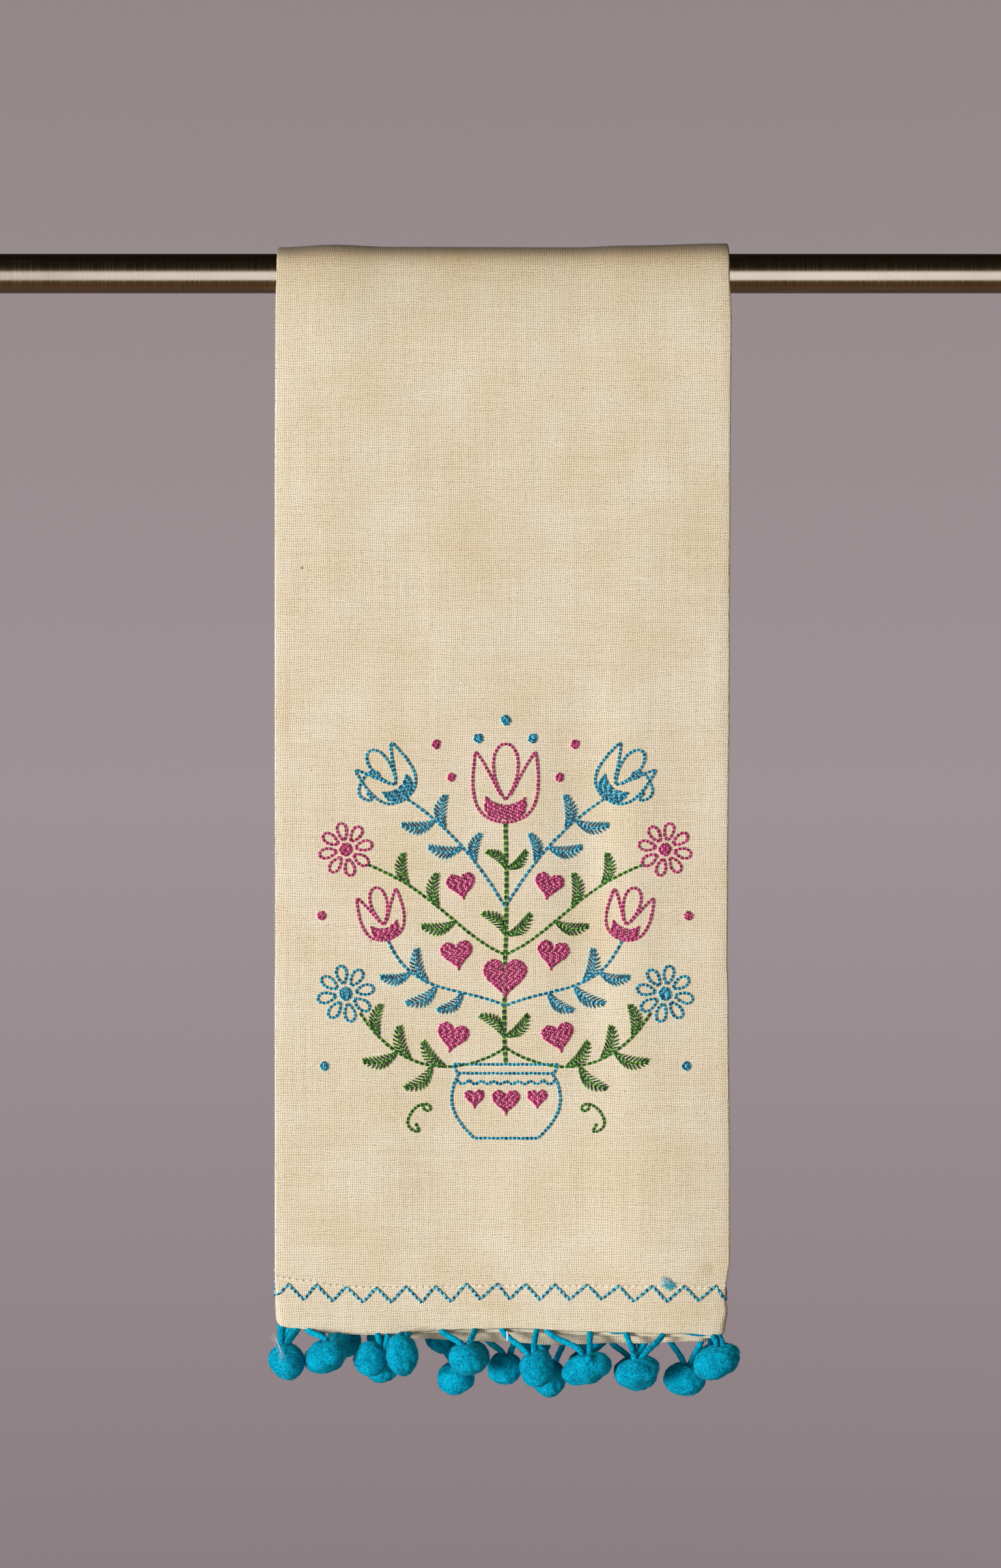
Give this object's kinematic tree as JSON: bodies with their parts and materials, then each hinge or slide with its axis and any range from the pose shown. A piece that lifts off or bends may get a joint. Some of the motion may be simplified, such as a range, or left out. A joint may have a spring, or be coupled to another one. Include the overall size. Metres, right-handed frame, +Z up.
{
  "type": "kitchen towel on a rod",
  "caption": "Folded kitchen towel of plain-woven cotton, hung over a plain round rod, with a pom-pom braid sewn into its front hem.",
  "frame": {"origin": "centre of the rod's left end face", "axes": "+X along the rod to its right end, +Y away from the viewer towards what the rod is fixed to, +Z up"},
  "size_m": [0.457, 0.0386, 0.3875],
  "materials": {
    "rod_metal": "brushed",
    "towel_cotton": "matte",
    "hem_thread": "matte",
    "stitch_thread": "satin",
    "braid_cord": "matte",
    "pompom_felt": "matte"
  },
  "bodies": {
    "root": {"rod": "rod_metal", "towel": "towel_cotton", "pompom_braid": "braid_cord", "pompom_front_1": "pompom_felt", "pompom_front_2": "pompom_felt", "pompom_front_3": "pompom_felt", "pompom_front_4": "pompom_felt", "pompom_front_5": "pompom_felt", "pompom_front_6": "pompom_felt", "pompom_front_7": "pompom_felt", "pompom_front_8": "pompom_felt", "pompom_front_9": "pompom_felt", "pompom_middle_1": "pompom_felt", "pompom_middle_2": "pompom_felt", "pompom_middle_3": "pompom_felt", "pompom_middle_4": "pompom_felt", "pompom_middle_5": "pompom_felt", "pompom_middle_6": "pompom_felt", "pompom_middle_7": "pompom_felt", "pompom_middle_8": "pompom_felt", "pompom_middle_9": "pompom_felt", "pompom_inner_1": "pompom_felt", "pompom_inner_2": "pompom_felt", "pompom_inner_3": "pompom_felt", "pompom_inner_4": "pompom_felt", "pompom_inner_5": "pompom_felt", "pompom_inner_6": "pompom_felt", "pompom_inner_7": "pompom_felt", "pompom_inner_8": "pompom_felt", "pompom_inner_9": "pompom_felt"}
  },
  "joints": []
}
